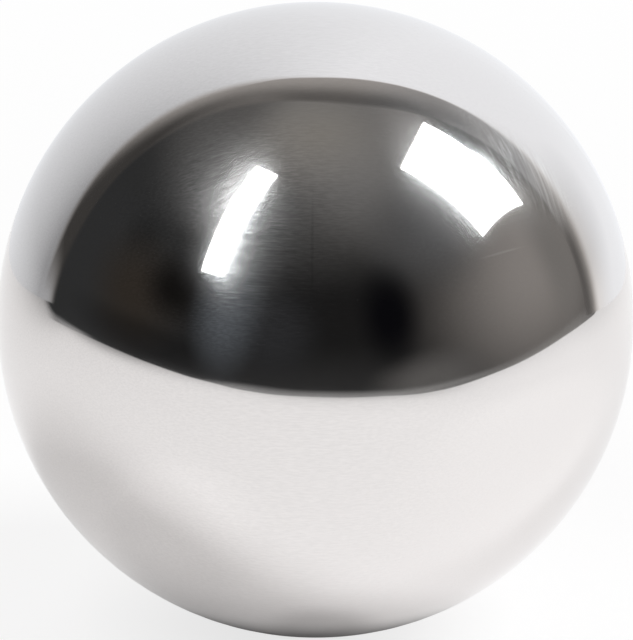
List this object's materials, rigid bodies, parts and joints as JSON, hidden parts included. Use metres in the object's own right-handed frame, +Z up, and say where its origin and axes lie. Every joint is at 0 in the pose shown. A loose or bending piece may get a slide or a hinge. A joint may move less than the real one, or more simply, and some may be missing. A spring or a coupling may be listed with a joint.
{
  "type": "steel ball",
  "caption": "Solid polished steel ball: one plain sphere with a mirror finish and a faint haze of fine polishing scratches.",
  "frame": {"origin": "centre of the ball", "axes": "+Z up. A sphere has no direction of its own, so X and Y only follow the side that faces the viewer, who looks along +Y."},
  "size_m": [0.05, 0.05, 0.05],
  "materials": {
    "polished_steel": "mirror polished, with a faint haze of fine scratches"
  },
  "bodies": {
    "root": {"ball": "polished_steel"}
  },
  "joints": []
}
